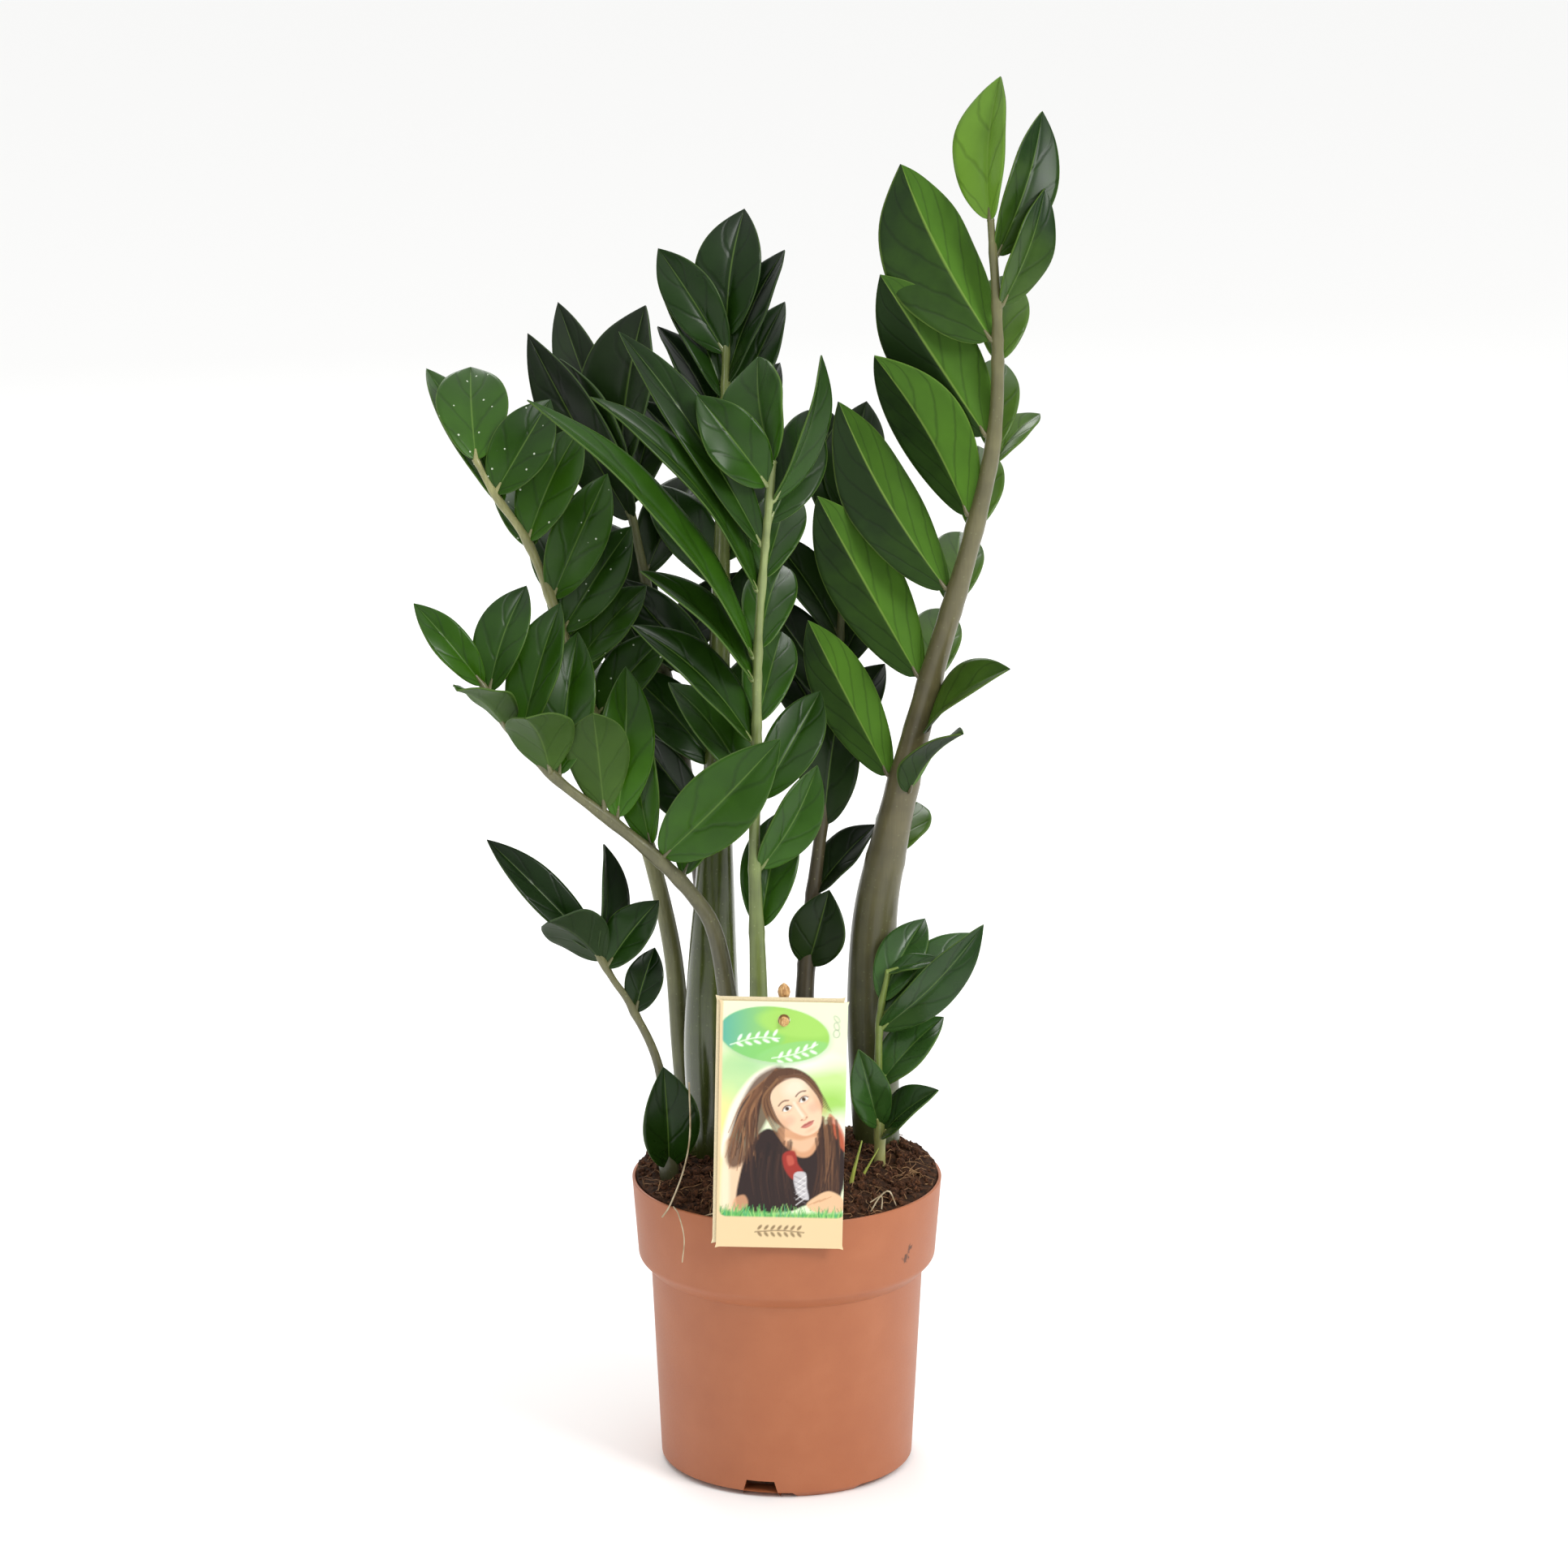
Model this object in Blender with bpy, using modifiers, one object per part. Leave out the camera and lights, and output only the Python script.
"""Potted ZZ plant: nine arching fronds with fleshy leaflets in a 17 cm moulded nursery pot.

The part stands on the XY plane with the pot's axis on Z, its front towards -Y.
A frond is one stem with its leaflets. The leaflets of three fronds are separate
nodes, and those of the other six are joined to their stem as one solid.
Run it with: blender --background --python part.py
"""

import math
from dataclasses import dataclass, replace

import bmesh
import bpy
import numpy as np
from mathutils import Matrix, Vector, geometry
from mathutils.bvhtree import BVHTree

MM = 0.001
CLEARANCE = 0.3 * MM  # kept between any two pieces that touch

# Pot: a moulded nursery pot with a stiff collar that widens to a thin rim.
POT_HEIGHT = 162 * MM
POT_RIM_RADIUS = 84.6 * MM
POT_WALL = 1.8 * MM
RIM_ROUND = 0.6 * MM
COLLAR_HEIGHT = 44 * MM
COLLAR_TAPER = 3.4 * MM  # how much narrower its foot is than the rim
COLLAR_STEP = 6.8 * MM  # how far the body is set in below the collar
COLLAR_CHAMFER = 6.5 * MM
BASE_RADIUS = 69.2 * MM
BASE_CORNER = 3 * MM
FLOOR_THICKNESS = 2.5 * MM
FOOT_HEIGHT = 3 * MM
FOOT_WIDTH = 5 * MM
CENTRE_FOOT_RADIUS = 14 * MM
DRAIN_COUNT = 3
DRAIN_WIDTH = 20 * MM
DRAIN_TOP = 9.5 * MM
DRAIN_DEPTH = 12 * MM
DRAIN_TURN = math.radians(-102)  # where the first drain slot is, from +X
FOOT_TAB_ANGLE = math.radians(33)  # each foot tab's share of the base ring
FOOT_TAB_TURN = math.radians(31)  # from a drain slot to the middle of the next tab
POT_STEPS = 40

# Potting soil: fills the pot to just under the rim and is heaped in the middle.
SOIL_BELOW_RIM = 2 * MM
SOIL_HEAP = 11 * MM
SOIL_STEPS = 28

# Hanging label on a wooden stick.
LABEL_WIDTH = 67 * MM
LABEL_HEIGHT = 136 * MM
LABEL_THICKNESS = 0.8 * MM
LABEL_CORNER = 2 * MM
LABEL_BELOW_RIM = 12 * MM
LABEL_TILT = math.radians(1.2)
LABEL_OFF_RIM = 1.6 * MM
BACK_CARD_SHIFT = (-2 * MM, 2 * MM)
STICK_RADIUS = 3 * MM
STICK_X = -1.5 * MM
STICK_FROM_RIM = 19 * MM  # how far inside the rim it enters the soil
STICK_IN_SOIL = 25 * MM
STICK_ABOVE_LABEL = 8 * MM
PEG_RADIUS = 2.6 * MM
PEG_BELOW_TOP = 10 * MM
PEG_PROUD = 1.5 * MM

# Plant: the plan below is drawn in millimetres for a crown 600 high in soil 78 in radius.
PLANT_HEIGHT = 600 * MM
PLAN_HEIGHT = 600
PLAN_SOIL_RADIUS = 78
STEM_GIRTH = 1.0
LEAFLET_WIDTH = 1.0
LEAFLET_THICKNESS = 0.9 * MM
LEAFLET_BOW = 0.07  # arch of the midrib, as a share of its length
LEAFLET_FOLD = 0.25  # rise of the margins above the midrib, as a share of half the width
STEM_SIDES_RESOLUTION = 2
STEM_RINGS = 13
BLADE_STATIONS = (0.0, 0.18, 0.42, 0.68, 0.88, 1.0)
BLADE_BASE, BLADE_TIP = 0.78, 0.64  # how bluntly the blade's outline closes at each end, 1 is straight
RADIUS_STATIONS = (0.0, 0.18, 0.5, 1.0)
SWING_LIMIT, SWING_STEP = 36, 4  # degrees a leaflet may swing to stand clear of another
TURN_LIMIT, TURN_STEP = 60, 12  # degrees it may turn about its midrib


@dataclass(frozen=True)
class Leaflet:
    """One leaflet: where it leaves the stem, where its tip reaches, and how it lies.

    height: above the soil, where it leaves its stem
    reach: from there to its tip, as (right, back, up)
    width: at its widest
    turn: degrees its upper face is turned from looking up, positive towards the front
    """

    height: float
    reach: tuple
    width: float
    turn: float = 0.0


@dataclass(frozen=True)
class Frond:
    """One stem and its leaflets. The stem's points are (right, back, above the soil)."""

    name: str
    stem: tuple
    radii: tuple  # at the foot, the swelling, the middle and the tip
    leaflets: tuple
    separate: bool = False


FRONDS = (
    Frond(
        "right_tall",
        stem=((50, 30, -15), (47, 28, 65), (47, 25, 135), (55, 20, 185), (74, 15, 268),
              (96, 8, 350), (108, 4, 410), (109, 2, 470), (105, 0, 525)),
        radii=(12, 14.5, 6.8, 1.8),
        separate=True,
        leaflets=(
            Leaflet(530, (5, 18, 73), 36, -30),
            Leaflet(506, (26, 34, 72), 30, 68),
            Leaflet(480, (25, 11, 60), 26, 100),
            Leaflet(462, (-53, -10, 93), 56, -113),
            Leaflet(450, (4, 50, 38), 28, 10),
            Leaflet(410, (-60, -10, 88), 45, -78),
            Leaflet(402, (4, 55, 42), 26, 10),
            Leaflet(395, (28, 40, 20), 20, 10),
            Leaflet(366, (-55, -12, 88), 42, -56),
            Leaflet(358, (4, 55, 36), 26, 10),
            Leaflet(325, (-63, -14, 105), 42, -108),
            Leaflet(316, (6, 60, 30), 28, 10),
            Leaflet(276, (-61, -16, 104), 40, -84),
            Leaflet(272, (8, 60, 30), 28, 10),
            Leaflet(250, (46, -44, 42), 35, 40),
            Leaflet(220, (-52, -8, 90), 32, -90),
            Leaflet(216, (30, -51, 42), 31, 14),
            Leaflet(174, (18, 40, 22), 30, 10),
        ),
    ),
    Frond(
        "front",
        stem=((-15, -32, -15), (-15, -32, 60), (-15, -32, 120), (-17, -34, 190),
              (-16, -36, 240), (-15, -38, 305), (-12, -39, 350), (-7, -40, 404)),
        radii=(6.5, 6, 3, 1.7),
        separate=True,
        leaflets=(
            Leaflet(410, (-8, 35, 50), 43, 52),
            Leaflet(384, (29, 9, 74), 26, 132),
            Leaflet(392, (-38, -2, 48), 31, 74),
            Leaflet(372, (22, 48, 52), 30, 46),
            Leaflet(360, (-73, 12, 112), 25, 52),
            Leaflet(342, (13, 60, 36), 28, 10),
            Leaflet(336, (-83, -20, 108), 28, 34),
            Leaflet(304, (13, 60, 34), 28, 10),
            Leaflet(300, (-112, -42, 146), 30, 34),
            Leaflet(288, (-57, -20, 64), 28, 34),
            Leaflet(264, (13, 60, 36), 28, 10),
            Leaflet(255, (-63, -15, 66), 30, 44),
            Leaflet(225, (-45, 30, 55), 30, 20),
            Leaflet(222, (34, 38, 50), 28, 44),
            Leaflet(184, (33, 10, 54), 28, 98),
            Leaflet(150, (15, 35, 58), 30, 18),
        ),
    ),
    Frond(
        "left_low",
        stem=((-26, -14, -15), (-28, -15, 60), (-31, -17, 103), (-38, -22, 145),
              (-50, -27, 168), (-69, -32, 190), (-94, -38, 213), (-121, -45, 237),
              (-146, -50, 267), (-157, -52, 288)),
        radii=(7, 6.5, 4, 1.6),
        separate=True,
        leaflets=(
            Leaflet(290, (-35, 5, 43), 20, 55),
            Leaflet(284, (20, 25, 52), 28, 20),
            Leaflet(266, (-22, -45, 30), 30, 0),
            Leaflet(258, (22, 25, 68), 28, 20),
            Leaflet(240, (-9, -50, 42), 35, -12),
            Leaflet(236, (11, 25, 74), 30, 20),
            Leaflet(216, (-2, -31, 62), 33, -12),
            Leaflet(210, (7, 22, 80), 30, 30),
            Leaflet(194, (-4, 25, 66), 26, 40),
            Leaflet(188, (64, -22, 72), 39, 100),
            Leaflet(176, (36, 53, 50), 29, 10),
        ),
    ),
    Frond(
        "back_tall",
        stem=((-39, 14, -15), (-40, 15, 60), (-40, 17, 110), (-38, 24, 190),
              (-36, 37, 280), (-34, 49, 370), (-32, 60, 455)),
        radii=(12, 16, 7, 1.8),
        leaflets=(
            Leaflet(460, (9, 20, 66), 36, 10),
            Leaflet(446, (-36, 15, 54), 28, 74),
            Leaflet(430, (31, 20, 69), 28, 16),
            Leaflet(422, (-36, 30, 64), 26, 18),
            Leaflet(402, (32, 30, 68), 28, 18),
            Leaflet(398, (-36, 30, 58), 28, 6),
            Leaflet(376, (30, 40, 60), 28, 20),
            Leaflet(366, (-45, 30, 50), 30, 30),
            Leaflet(335, (42, 30, 50), 30, 30),
            Leaflet(322, (-38, 41, 48), 30, 30),
            Leaflet(290, (45, 25, 48), 30, 30),
            Leaflet(272, (-52, 20, 50), 30, 78),
            Leaflet(240, (40, 30, 46), 30, 20),
            Leaflet(226, (-50, 22, 48), 30, 52),
            Leaflet(190, (-42, 40, 44), 28, 68),
        ),
    ),
    Frond(
        "left_back",
        stem=((-32, 50, -15), (-36, 50, 60), (-46, 50, 160), (-60, 51, 240),
              (-76, 52, 325), (-88, 53, 384)),
        radii=(8, 8, 5, 1.6),
        leaflets=(
            Leaflet(390, (14, 14, 86), 54, 0),
            Leaflet(376, (-35, 5, 66), 41, 104),
            Leaflet(372, (-38, 55, 94), 28, 46),
            Leaflet(364, (19, 46, 64), 28, 10),
            Leaflet(356, (-55, 0, 101), 33, 102),
            Leaflet(325, (30, 47, 50), 30, 18),
            Leaflet(300, (-42, 43, 50), 30, 30),
            Leaflet(272, (42, 25, 50), 30, 30),
            Leaflet(250, (-44, 35, 50), 30, 30),
            Leaflet(222, (38, 30, 46), 28, 30),
            Leaflet(205, (-33, 37, 44), 28, 42),
        ),
    ),
    Frond(
        "left_high",
        stem=((-50, 34, -15), (-57, 35, 60), (-62, 33, 120), (-74, 26, 178), (-85, 20, 209),
              (-100, 14, 250), (-115, 9, 291), (-123, 6, 319), (-136, 3, 354),
              (-152, 0, 379), (-162, 0, 398)),
        radii=(6.5, 5.5, 4, 1.6),
        leaflets=(
            Leaflet(400, (-5, 48, 42), 38, 0),
            Leaflet(374, (-43, 62, 62), 24, 10),
            Leaflet(380, (29, 15, 48), 32, 52),
            Leaflet(350, (-12, 60, 30), 28, 10),
            Leaflet(354, (28, 15, 60), 32, 45),
            Leaflet(326, (5, 60, 30), 28, 10),
            Leaflet(322, (30, 15, 65), 30, 69),
            Leaflet(300, (5, 60, 32), 28, 10),
            Leaflet(304, (37, 15, 54), 30, 57),
            Leaflet(284, (38, 12, 42), 28, 45),
            Leaflet(276, (5, 60, 35), 28, 10),
            Leaflet(255, (40, 14, 44), 28, 45),
            Leaflet(245, (-12, 58, 30), 28, 10),
        ),
    ),
    Frond(
        "left_small",
        stem=((-62, -15, -15), (-67, -17, 62), (-82, -20, 102), (-92, -22, 119),
              (-101, -24, 136)),
        radii=(5.5, 5, 2.5, 1.6),
        leaflets=(
            Leaflet(140, (-57, 5, 60), 22, 50),
            Leaflet(134, (2, 25, 54), 33, 70),
            Leaflet(130, (-26, -35, 32), 32, -36),
            Leaflet(126, (28, 5, 36), 24, 60),
            Leaflet(100, (11, 8, 34), 20, 50),
            Leaflet(12, (-2, -14, 60), 32, 150),
        ),
    ),
    Frond(
        "right_small",
        stem=((50, -2, -15), (50, -3, 30), (49, -4, 60), (50, -5, 95), (54, -5, 118)),
        radii=(3.2, 3.2, 2.4, 1.4),
        leaflets=(
            Leaflet(120, (28, -5, 8), 12, 30),
            Leaflet(102, (23, 25, 40), 26, 20),
            Leaflet(92, (55, 25, 42), 26, 30),
            Leaflet(86, (55, -7, 61), 24, 104),
            Leaflet(54, (35, 12, 35), 28, 30),
            Leaflet(30, (-12, -12, 48), 22, 120),
            Leaflet(24, (30, -15, 32), 24, 45),
        ),
    ),
    Frond(
        "right_back",
        stem=((5, 28, -15), (8, 30, 60), (12, 33, 130), (20, 38, 200), (26, 43, 260),
              (30, 48, 320), (31, 50, 360)),
        radii=(6, 6, 3.5, 1.6),
        leaflets=(
            Leaflet(365, (11, 20, 58), 34, 10),
            Leaflet(348, (-11, 28, 66), 28, 20),
            Leaflet(332, (28, 25, 45), 28, 30),
            Leaflet(318, (-25, 22, 70), 30, -8),
            Leaflet(292, (-40, 6, 58), 28, 40),
            Leaflet(275, (30, 25, 45), 28, 30),
            Leaflet(256, (-41, 10, 60), 28, 50),
            Leaflet(236, (-30, 22, 45), 28, 40),
            Leaflet(228, (30, 25, 45), 28, 30),
            Leaflet(190, (10, 5, 70), 32, 60),
            Leaflet(152, (34, 8, 36), 24, 30),
            Leaflet(112, (12, -8, 44), 31, 110),
        ),
    ),
)


def linear(srgb_hex):
    """The linear RGBA colour of an sRGB hex value such as 0xB4704D."""
    channels = [((srgb_hex >> shift) & 255) / 255 for shift in (16, 8, 0)]
    return [c / 12.92 if c <= 0.04045 else ((c + 0.055) / 1.055) ** 2.4 for c in channels] + [1.0]


def new_material(name, srgb_hex, roughness):
    material = bpy.data.materials.new(name)
    material.use_nodes = True
    shader = material.node_tree.nodes["Principled BSDF"]
    shader.inputs["Base Color"].default_value = linear(srgb_hex)
    shader.inputs["Roughness"].default_value = roughness
    shader.inputs["Metallic"].default_value = 0.0
    material.diffuse_color = linear(srgb_hex)
    return material


def clear_scene():
    for obj in list(bpy.data.objects):
        bpy.data.objects.remove(obj, do_unlink=True)


def new_collection(name):
    collection = bpy.data.collections.new(name)
    bpy.context.scene.collection.children.link(collection)
    return collection


def add_object(name, data, material, collection):
    obj = bpy.data.objects.new(name, data)
    if material:
        data.materials.append(material)
    collection.objects.link(obj)
    return obj


def as_cutter(obj):
    obj.hide_render = True
    obj.display_type = "WIRE"
    return obj


def smooth(mesh, degrees=35):
    mesh.shade_smooth()
    mesh.set_sharp_from_angle(angle=math.radians(degrees))


def turned(name, profile, steps, material, collection):
    """A solid of revolution. The profile runs down the outer side, from axis to axis."""
    mesh = bpy.data.meshes.new(name)
    points = [(radius, 0.0, height) for radius, height in profile]
    edges = [(i, i + 1) for i in range(len(points) - 1)]
    mesh.from_pydata(points, edges, [])
    obj = add_object(name, mesh, material, collection)
    screw = obj.modifiers.new("turn", "SCREW")
    screw.steps = screw.render_steps = steps
    screw.use_merge_vertices = True
    screw.merge_threshold = 0.00001
    return obj


def cut(obj, operand, label):
    """Subtracts an object or a collection of cutters."""
    boolean = obj.modifiers.new(label, "BOOLEAN")
    boolean.operation = "DIFFERENCE"
    if isinstance(operand, bpy.types.Collection):
        boolean.operand_type = "COLLECTION"
        boolean.collection = operand
    else:
        boolean.object = operand
    return boolean


def collar_radius():
    """The collar's outer radius at its foot."""
    return POT_RIM_RADIUS - COLLAR_TAPER


def body_radius():
    return collar_radius() - COLLAR_STEP


def soil_radius():
    """The soil's radius at the collar's foot."""
    return collar_radius() - POT_WALL - CLEARANCE


def soil_level():
    return POT_HEIGHT - SOIL_BELOW_RIM


def inner_wall():
    """The pot's inner wall from the floor's corner up to the rim, as (radius, height)."""
    collar_foot = POT_HEIGHT - COLLAR_HEIGHT
    corner = FOOT_HEIGHT + FLOOR_THICKNESS + BASE_CORNER
    return [
        (BASE_RADIUS - POT_WALL - BASE_CORNER, FOOT_HEIGHT + FLOOR_THICKNESS),
        (BASE_RADIUS - POT_WALL, corner),
        (body_radius() - POT_WALL, collar_foot - COLLAR_CHAMFER + POT_WALL / 2),
        (collar_radius() - POT_WALL, collar_foot + POT_WALL / 2),
        (POT_RIM_RADIUS - POT_WALL, POT_HEIGHT - RIM_ROUND),
    ]


def pot_profile():
    collar_foot = POT_HEIGHT - COLLAR_HEIGHT
    outer = [
        (POT_RIM_RADIUS - POT_WALL + RIM_ROUND, POT_HEIGHT),
        (POT_RIM_RADIUS - RIM_ROUND, POT_HEIGHT),
        (POT_RIM_RADIUS, POT_HEIGHT - RIM_ROUND),
        (collar_radius(), collar_foot),
        (body_radius(), collar_foot - COLLAR_CHAMFER),
        (BASE_RADIUS, FOOT_HEIGHT + BASE_CORNER),
        (BASE_RADIUS - BASE_CORNER / 3, BASE_CORNER / 3),
        (BASE_RADIUS - BASE_CORNER, 0.0),
    ]
    ring_inside = BASE_RADIUS - BASE_CORNER - FOOT_WIDTH
    under = [
        (ring_inside, 0.0),
        (ring_inside, FOOT_HEIGHT),
        (CENTRE_FOOT_RADIUS, FOOT_HEIGHT),
        (CENTRE_FOOT_RADIUS - FOOT_HEIGHT / 3, 0.0),
        (0.0, 0.0),
    ]
    return [(0.0, FOOT_HEIGHT + FLOOR_THICKNESS)] + inner_wall() + outer + under


def wedge(name, width, depth, low, high, taper, radius, angle, collection):
    """A cutter across the pot's foot, narrower at its top by the taper."""
    bm = bmesh.new()
    bmesh.ops.create_cube(bm, size=1.0)
    for vert in bm.verts:
        narrow = taper if vert.co.z > 0 else 1.0
        vert.co.x *= depth
        vert.co.y *= width * narrow
        vert.co.z = high if vert.co.z > 0 else low
    bmesh.ops.translate(bm, verts=bm.verts, vec=(radius, 0, 0))
    bmesh.ops.rotate(bm, verts=bm.verts, cent=(0, 0, 0), matrix=Matrix.Rotation(angle, 3, "Z"))
    mesh = bpy.data.meshes.new(name)
    bm.to_mesh(mesh)
    bm.free()
    return as_cutter(add_object(name, mesh, None, collection))


def build_pot(parts, material):
    """The pot with its drain slots, and the reliefs that leave a foot tab beside each."""
    pot = turned("pot", pot_profile(), POT_STEPS, material, parts)
    cutters = new_collection("pot_cutters")
    below = 2 * MM
    pitch = math.tau / DRAIN_COUNT
    gap_width = 2 * BASE_RADIUS * math.sin((pitch - FOOT_TAB_ANGLE) / 2)
    for number in range(DRAIN_COUNT):
        slot_angle = DRAIN_TURN + number * pitch
        wedge(f"drain_cutter_{number}", DRAIN_WIDTH, 2 * DRAIN_DEPTH, -below, DRAIN_TOP, 0.85,
              BASE_RADIUS, slot_angle, cutters)
        relief_angle = slot_angle + FOOT_TAB_TURN + pitch / 2
        ring_middle = BASE_RADIUS * math.cos((pitch - FOOT_TAB_ANGLE) / 2) + FOOT_WIDTH
        wedge(f"relief_cutter_{number}", gap_width, 6 * FOOT_WIDTH, -below, FOOT_HEIGHT, 1.0,
              ring_middle, relief_angle, cutters)
    cut(pot, cutters, "drains and reliefs")
    return pot


def build_soil(parts, material):
    wall = inner_wall()
    side = [(radius - CLEARANCE, height + CLEARANCE) for radius, height in wall[:-1]]
    foot, rim = wall[-2:]
    rise = (soil_level() - foot[1]) / (rim[1] - foot[1])
    edge = foot[0] + (rim[0] - foot[0]) * rise - CLEARANCE
    heap = [(edge * share, soil_level() + SOIL_HEAP * (1 - share**2)) for share in (0, 0.35, 0.65, 0.85, 1)]
    bottom = side[0][1]
    soil = turned("potting_soil", heap + side[::-1] + [(0.0, bottom)], SOIL_STEPS, material, parts)
    return soil


def plan_scale():
    """From the plan's millimetres to metres, as (across, up)."""
    return soil_radius() / PLAN_SOIL_RADIUS, PLANT_HEIGHT / PLAN_HEIGHT


def to_part(point):
    """A point of the plan in the part's frame."""
    across, up = plan_scale()
    return Vector((point[0] * across, point[1] * across, point[2] * up + soil_level()))


def smooth_path(points, count):
    """Points at even steps along a smooth curve through the given ones."""
    ends = [2 * points[0] - points[1]] + list(points) + [2 * points[-1] - points[-2]]
    fine = []
    for before, start, end, after in zip(ends, ends[1:], ends[2:], ends[3:]):
        first, second = start + (end - before) / 6, end - (after - start) / 6
        fine += geometry.interpolate_bezier(start, first, second, end, 9)[:-1]
    fine.append(points[-1])
    gaps = [(b - a).length for a, b in zip(fine, fine[1:])]
    run = np.concatenate([[0.0], np.cumsum(gaps)])
    even = np.linspace(0.0, run[-1], count)
    columns = [np.interp(even, run, [p[axis] for p in fine]) for axis in range(3)]
    return [Vector(row) for row in zip(*columns)]


class Stem:
    """A stem's centre line and its radius along it."""

    def __init__(self, frond):
        self.path = smooth_path([to_part(point) for point in frond.stem], STEM_RINGS)
        shares = np.linspace(0.0, 1.0, STEM_RINGS)
        across = plan_scale()[0] * STEM_GIRTH
        self.radii = [float(r) * across for r in np.interp(shares, RADIUS_STATIONS, frond.radii)]

    def at(self, height):
        """(point, radius, direction) where the stem passes this height above the soil."""
        level = height * plan_scale()[1] + soil_level()
        heights = [point.z for point in self.path]
        place = float(np.interp(level, heights, range(STEM_RINGS)))
        index = min(int(place), STEM_RINGS - 2)
        share = place - index
        low, high = self.path[index], self.path[index + 1]
        radius = self.radii[index] * (1 - share) + self.radii[index + 1] * share
        return low.lerp(high, share), radius, (high - low).normalized()


def tube_mesh(name, path, radii):
    """A closed tube along the path, as a mesh whose caps are welded to its sides."""
    curve = bpy.data.curves.new(name, "CURVE")
    curve.dimensions = "3D"
    curve.bevel_depth = 1.0
    curve.bevel_resolution = STEM_SIDES_RESOLUTION
    curve.use_fill_caps = True
    spline = curve.splines.new("POLY")
    spline.points.add(len(path) - 1)
    for point, place, radius in zip(spline.points, path, radii):
        point.co = (*place, 1.0)
        point.radius = radius
    holder = bpy.data.objects.new(name, curve)
    bpy.context.scene.collection.objects.link(holder)
    graph = bpy.context.evaluated_depsgraph_get()
    mesh = bpy.data.meshes.new_from_object(holder.evaluated_get(graph))
    bpy.data.objects.remove(holder)
    bpy.data.curves.remove(curve)
    mesh.name = name
    bm = bmesh.new()
    bm.from_mesh(mesh)
    bmesh.ops.remove_doubles(bm, verts=bm.verts, dist=1e-6)
    bmesh.ops.recalc_face_normals(bm, faces=bm.faces)
    bm.to_mesh(mesh)
    bm.free()
    mesh.materials.clear()
    return mesh


def outline(share):
    """Half the blade's width at this share of its length, as a share of the widest."""
    widest = BLADE_BASE / (BLADE_BASE + BLADE_TIP)
    return (share / widest) ** BLADE_BASE * ((1 - share) / (1 - widest)) ** BLADE_TIP


class Blade:
    """A leaflet's surface, worked out from its plan and its stem."""

    def __init__(self, leaflet, stem, joined):
        across, up = plan_scale()
        centre, radius, along_stem = stem.at(leaflet.height)
        reach = Vector((leaflet.reach[0] * across, leaflet.reach[1] * across, leaflet.reach[2] * up))
        outward = reach - reach.dot(along_stem) * along_stem
        if centre == stem.path[-1]:
            self.base = centre + along_stem * (-radius if joined else CLEARANCE)
        else:
            self.base = centre + outward.normalized() * (radius * 0.3 if joined else radius + CLEARANCE)
        self.reach = centre + reach - self.base
        self.length = self.reach.length
        self.along = self.reach.normalized()
        level = Vector((0, 0, 1)) - self.along.z * self.along
        self.face = Matrix.Rotation(math.radians(self.turn_sign() * leaflet.turn), 3, self.along) @ level
        self.face.normalize()
        self.side = self.along.cross(self.face).normalized()
        self.half = leaflet.width * across * LEAFLET_WIDTH / 2

    def turn_sign(self):
        """The sense about the midrib that brings the upper face towards the front."""
        level = Vector((0, 0, 1)) - self.along.z * self.along
        return 1.0 if self.along.cross(level).y < 0 else -1.0

    def point(self, share, across, grown=0.0):
        """A point of the blade's middle surface. Across runs from -1 to 1."""
        wide = across * (self.half * outline(share) + (grown if 0 < share < 1 else 0.0))
        rise = LEAFLET_BOW * self.length * 4 * share * (1 - share) + LEAFLET_FOLD * abs(wide)
        return self.base + self.reach * share + self.side * wide + self.face * rise

    def sheet(self, grown=0.0, lift=0.0):
        """The blade as an open mesh of a few rows, pointed at both ends."""
        bm = bmesh.new()
        rows = len(BLADE_STATIONS) - 1
        bmesh.ops.create_grid(bm, x_segments=2, y_segments=rows, size=1.0)
        for vert in bm.verts:
            row = round((vert.co.y + 1) / 2 * rows)
            vert.co = self.point(BLADE_STATIONS[row], vert.co.x, grown) + self.face * lift
        bmesh.ops.remove_doubles(bm, verts=bm.verts, dist=1e-6)
        return bm

    def probes(self):
        """Open sheets on both sides of the blade, a clearance outside it."""
        reach = LEAFLET_THICKNESS / 2 + CLEARANCE
        trees = []
        for lift in (-reach, reach):
            bm = self.sheet(grown=1.5 * CLEARANCE, lift=lift)
            trees.append(BVHTree.FromBMesh(bm))
            bm.free()
        return trees


def swung(leaflet, swing, turn):
    """The same leaflet swung about the upright and turned about its midrib, in degrees."""
    reach = Matrix.Rotation(math.radians(swing), 3, "Z") @ Vector(leaflet.reach)
    return replace(leaflet, reach=tuple(reach), turn=leaflet.turn + turn)


def moves():
    """All (swing, turn) pairs in degrees, the smallest first."""
    swings = range(-SWING_LIMIT, SWING_LIMIT + 1, SWING_STEP)
    turns = range(-TURN_LIMIT, TURN_LIMIT + 1, TURN_STEP)
    return sorted(((s, t) for s in swings for t in turns), key=lambda m: abs(m[0]) + abs(m[1]) / 3)


def settled(name, leaflet, stem, joined, neighbours):
    """The blade, moved by the smallest step that keeps it clear of what stands already."""
    for swing, turn in moves():
        moved = swung(leaflet, swing, turn)
        blade = Blade(moved, stem, joined)
        probes = blade.probes()
        if not any(probe.overlap(tree) for probe in probes for tree in neighbours):
            if swing or turn:
                reach = tuple(round(value) for value in moved.reach)
                print(f"{name}: {leaflet.reach} {leaflet.turn} -> {reach} {moved.turn}")
            return blade
    print(f"{name}: no clear place")
    return Blade(leaflet, stem, joined)


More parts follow.
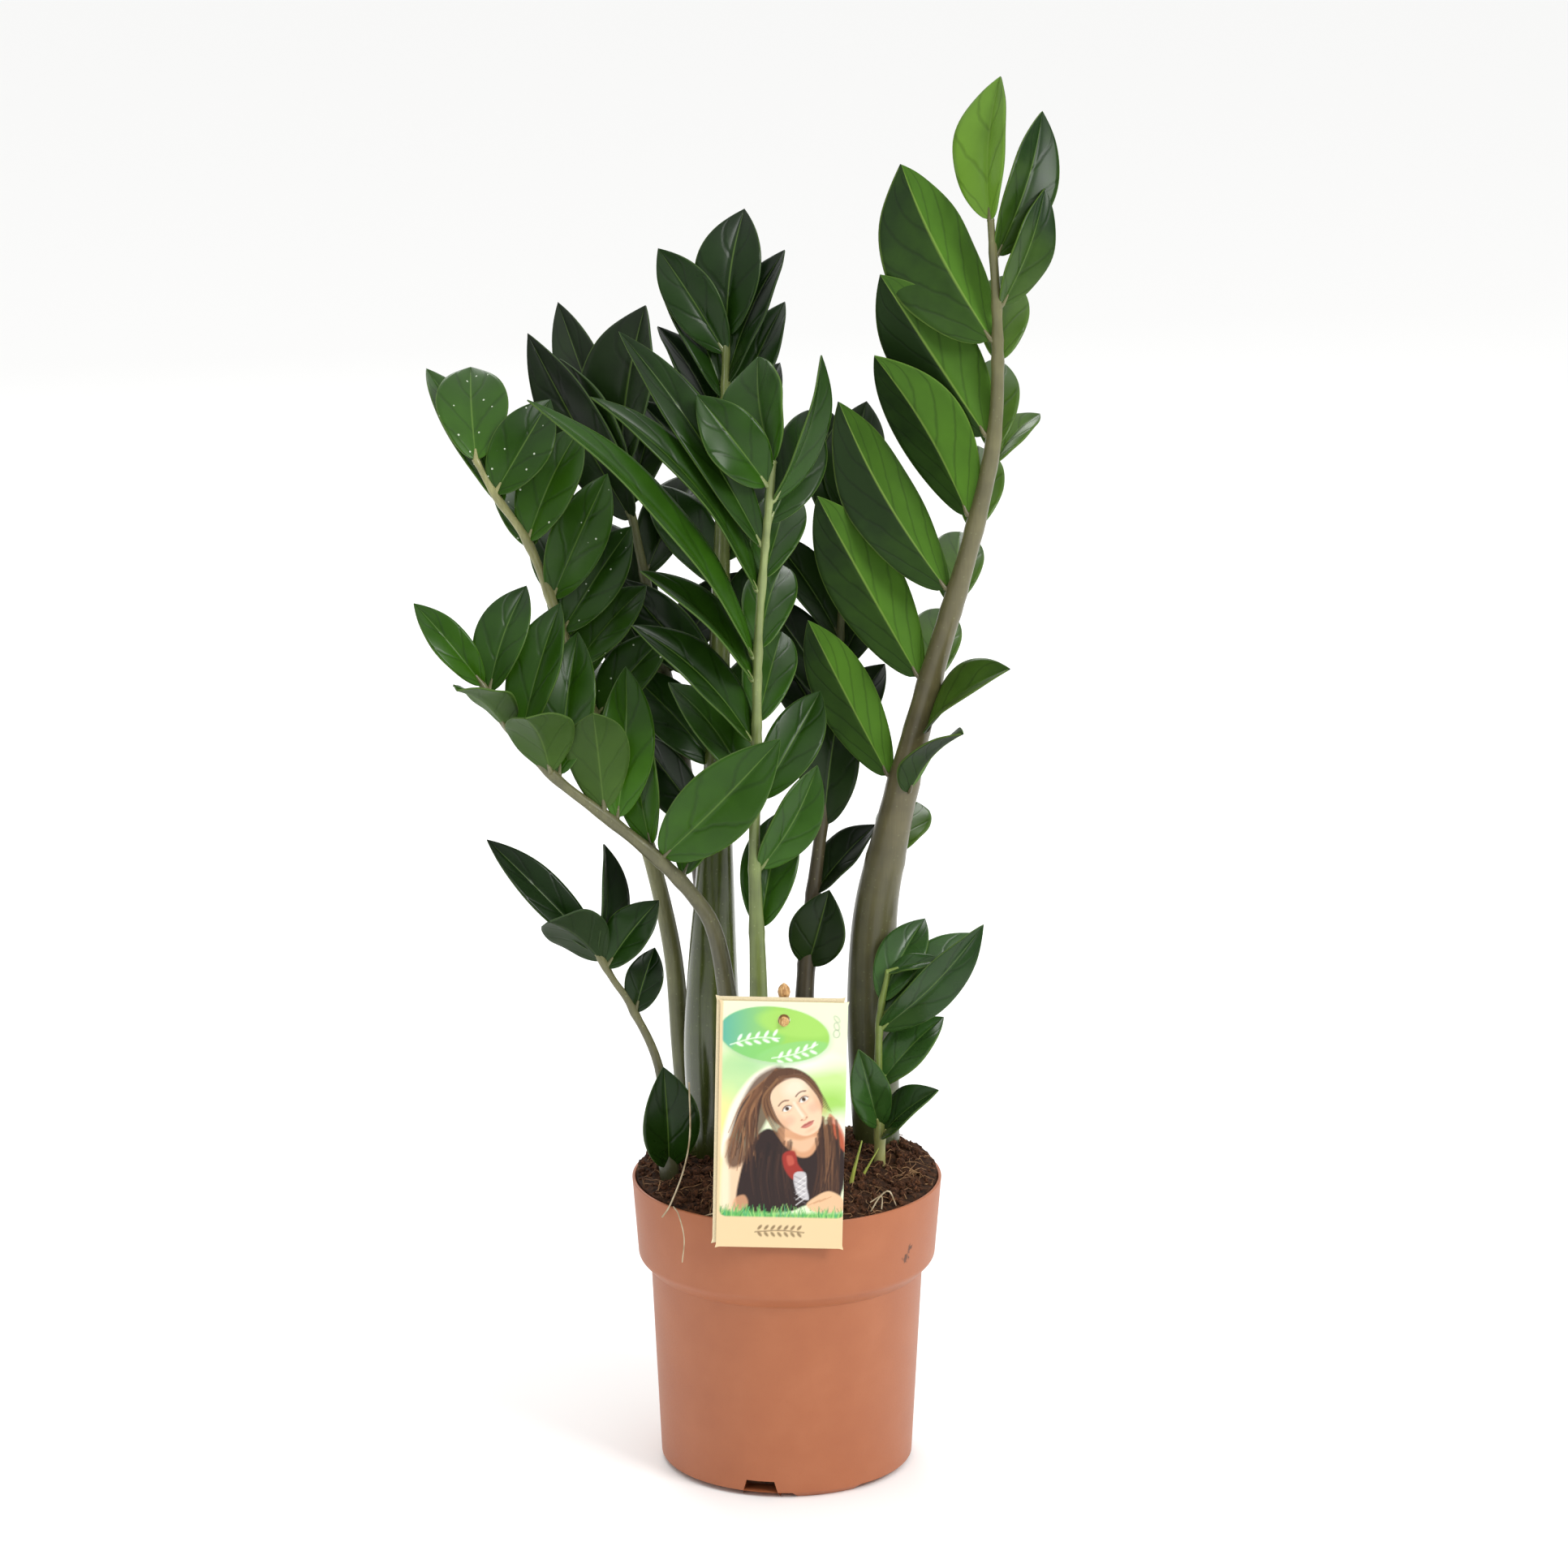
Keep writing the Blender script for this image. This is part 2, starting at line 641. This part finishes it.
def solid_leaflet(name, blade, material, collection):
    bm = blade.sheet()
    mesh = bpy.data.meshes.new(name)
    bm.to_mesh(mesh)
    bm.free()
    mesh.shade_smooth()
    obj = add_object(name, mesh, material, collection)
    wall = obj.modifiers.new("thickness", "SOLIDIFY")
    wall.thickness = LEAFLET_THICKNESS
    wall.offset = 0.0
    return obj


def tree_of(obj):
    """The evaluated object's faces as a search tree, in the part's frame."""
    bpy.context.view_layer.update()
    evaluated = obj.evaluated_get(bpy.context.evaluated_depsgraph_get())
    bm = bmesh.new()
    bm.from_mesh(evaluated.to_mesh())
    evaluated.to_mesh_clear()
    bm.transform(evaluated.matrix_world)
    tree = BVHTree.FromBMesh(bm)
    bm.free()
    return tree


def build_label(parts, card_material, wood_material):
    """Two cards, one behind the other, hung on the peg of a wooden stick."""
    front = -(POT_RIM_RADIUS + LABEL_OFF_RIM + 2 * LABEL_THICKNESS + CLEARANCE)
    low = POT_HEIGHT - LABEL_BELOW_RIM
    peg_height = low + LABEL_HEIGHT - PEG_BELOW_TOP
    peg = Vector((STICK_X, front, peg_height))
    layers = (
        ("label_card", 0.0, (0.0, 0.0)),
        ("label_back_card", LABEL_THICKNESS + CLEARANCE, BACK_CARD_SHIFT),
    )
    for name, depth, shift in layers:
        curve = bpy.data.curves.new(name, "CURVE")
        curve.dimensions = "2D"
        curve.fill_mode = "BOTH"
        curve.extrude = LABEL_THICKNESS / 2
        half, top = LABEL_WIDTH / 2, PEG_BELOW_TOP
        bottom = PEG_BELOW_TOP - LABEL_HEIGHT
        add_rounded_outline(curve, half, bottom, top, LABEL_CORNER, shift)
        add_hole(curve, PEG_RADIUS + 2 * CLEARANCE)
        card = add_object(name, curve, card_material, parts)
        card.location = peg + Vector((0, depth + LABEL_THICKNESS / 2, 0))
        card.rotation_euler = (math.pi / 2, LABEL_TILT, 0)
    stick_foot = Vector((STICK_X, STICK_FROM_RIM - POT_RIM_RADIUS, soil_level() - STICK_IN_SOIL))
    behind = front + 2 * LABEL_THICKNESS + 3 * CLEARANCE + STICK_RADIUS
    stick_top = Vector((STICK_X, behind, low + LABEL_HEIGHT + STICK_ABOVE_LABEL))
    rounding = [(0.0, 1.0), (0.975, 1.0), (0.99, 0.8), (1.0, 0.35)]
    path = [stick_foot.lerp(stick_top, share) for share, _ in rounding]
    stick_mesh = tube_mesh("label_stick", path, [STICK_RADIUS * r for _, r in rounding])
    stick = add_object("label_stick", stick_mesh, wood_material, parts)
    peg_path = [peg + Vector((0, y, 0)) for y in (-PEG_PROUD, -PEG_PROUD / 2, behind - front)]
    peg_tube = tube_mesh("label_peg", peg_path, [PEG_RADIUS * r for r in (0.6, 1.0, 1.0)])
    helpers = new_collection("label_helpers")
    peg_obj = as_cutter(add_object("label_peg", peg_tube, None, helpers))
    join = stick.modifiers.new("peg", "BOOLEAN")
    join.operation = "UNION"
    join.object = peg_obj
    socket = tube_mesh("stick_socket", path[:2], [STICK_RADIUS + 2 * CLEARANCE] * 2)
    return socket


def add_rounded_outline(curve, half, bottom, top, corner, shift):
    """A closed rounded rectangle as a Bezier spline, shifted by (x, y)."""
    spline = curve.splines.new("BEZIER")
    kappa = 0.5523 * corner
    corners = (
        ((half, bottom + corner), (0, -kappa), (half - corner, bottom), (kappa, 0)),
        ((-half + corner, bottom), (-kappa, 0), (-half, bottom + corner), (0, -kappa)),
        ((-half, top - corner), (0, kappa), (-half + corner, top), (-kappa, 0)),
        ((half - corner, top), (kappa, 0), (half, top - corner), (0, kappa)),
    )
    places = []
    for start, start_pull, end, end_pull in corners:
        places.append((start, None, start_pull))
        places.append((end, end_pull, None))
    spline.bezier_points.add(len(places) - 1)
    for point, (place, pull_in, pull_out) in zip(spline.bezier_points, places):
        x, y = place[0] + shift[0], place[1] + shift[1]
        point.co = (x, y, 0)
        point.handle_left_type = point.handle_right_type = "FREE"
        left, right = pull_in or (0, 0), pull_out or (0, 0)
        point.handle_left = (x + left[0], y + left[1], 0)
        point.handle_right = (x + right[0], y + right[1], 0)
    spline.use_cyclic_u = True
    curve.resolution_u = 3


def add_hole(curve, radius):
    """A round hole about the curve's own origin."""
    spline = curve.splines.new("BEZIER")
    spline.bezier_points.add(3)
    for number, point in enumerate(spline.bezier_points):
        angle = -number * math.pi / 2
        ray = Vector((math.cos(angle), math.sin(angle), 0))
        along = Vector((ray.y, -ray.x, 0)) * 0.5523 * radius
        point.co = ray * radius
        point.handle_left_type = point.handle_right_type = "FREE"
        point.handle_left = point.co - along
        point.handle_right = point.co + along
    spline.use_cyclic_u = True


def build_plant(parts, soil, first_socket, stem_material, leaf_material, standing):
    """All fronds, and the sockets that their stems' feet fill in the soil."""
    sockets = new_collection("soil_cutters")
    as_cutter(add_object("stick_socket", first_socket, None, sockets))
    stems = {}
    trees = {}
    for frond in FRONDS:
        stem = Stem(frond)
        mesh = tube_mesh(frond.name, stem.path, stem.radii)
        mesh.materials.append(stem_material)
        mesh.materials.append(leaf_material)
        smooth(mesh, 60)
        node = f"{frond.name}_stem" if frond.separate else f"{frond.name}_frond"
        stem_object = add_object(node, mesh, None, parts)
        stems[frond.name] = (stem, stem_object)
        trees[frond.name] = tree_of(stem_object)
        foot = [index for index, point in enumerate(stem.path) if point.z < soil_level() + 2 * SOIL_HEAP]
        reach = foot[-1] + 2
        below = stem.path[0] - (stem.path[1] - stem.path[0]).normalized() * 2 * CLEARANCE
        path = [below] + stem.path[1:reach]
        radii = [radius + 2 * CLEARANCE for radius in stem.radii[:reach]]
        socket = tube_mesh(f"{frond.name}_socket", path, radii)
        as_cutter(add_object(f"{frond.name}_socket", socket, None, sockets))
    cut(soil, sockets, "sockets")
    standing.append(tree_of(soil))
    for frond in FRONDS:
        stem, stem_object = stems[frond.name]
        joined = not frond.separate
        home = new_collection(f"{frond.name}_joined") if joined else parts
        for number, leaflet in enumerate(frond.leaflets, start=1):
            name = f"{frond.name}_leaflet_{number:02d}"
            others = [tree for key, tree in trees.items() if key != frond.name or not joined]
            blade = settled(name, leaflet, stem, joined, others + standing)
            obj = solid_leaflet(name, blade, leaf_material, home)
            standing.append(tree_of(obj))
            if joined:
                as_cutter(obj)
        if joined:
            join = stem_object.modifiers.new("leaflets", "BOOLEAN")
            join.operation = "UNION"
            join.operand_type = "COLLECTION"
            join.collection = home
            join.material_mode = "TRANSFER"


def main():
    clear_scene()
    parts = new_collection("potted_zz_plant")
    terracotta = new_material("terracotta polypropylene", 0xB4704D, 0.55)
    peat = new_material("peat and coir", 0x3A2418, 0.95)
    card = new_material("printed card", 0xDDE8C8, 0.5)
    wood = new_material("birch wood", 0xD8A86C, 0.6)
    stalk = new_material("zz stem", 0x66773F, 0.4)
    leaf = new_material("zz leaf", 0x35591F, 0.25)
    pot = build_pot(parts, terracotta)
    soil = build_soil(parts, peat)
    stick_socket = build_label(parts, card, wood)
    standing = [tree_of(obj) for obj in parts.objects if obj not in (pot, soil)]
    standing.append(tree_of(pot))
    build_plant(parts, soil, stick_socket, stalk, leaf, standing)


main()
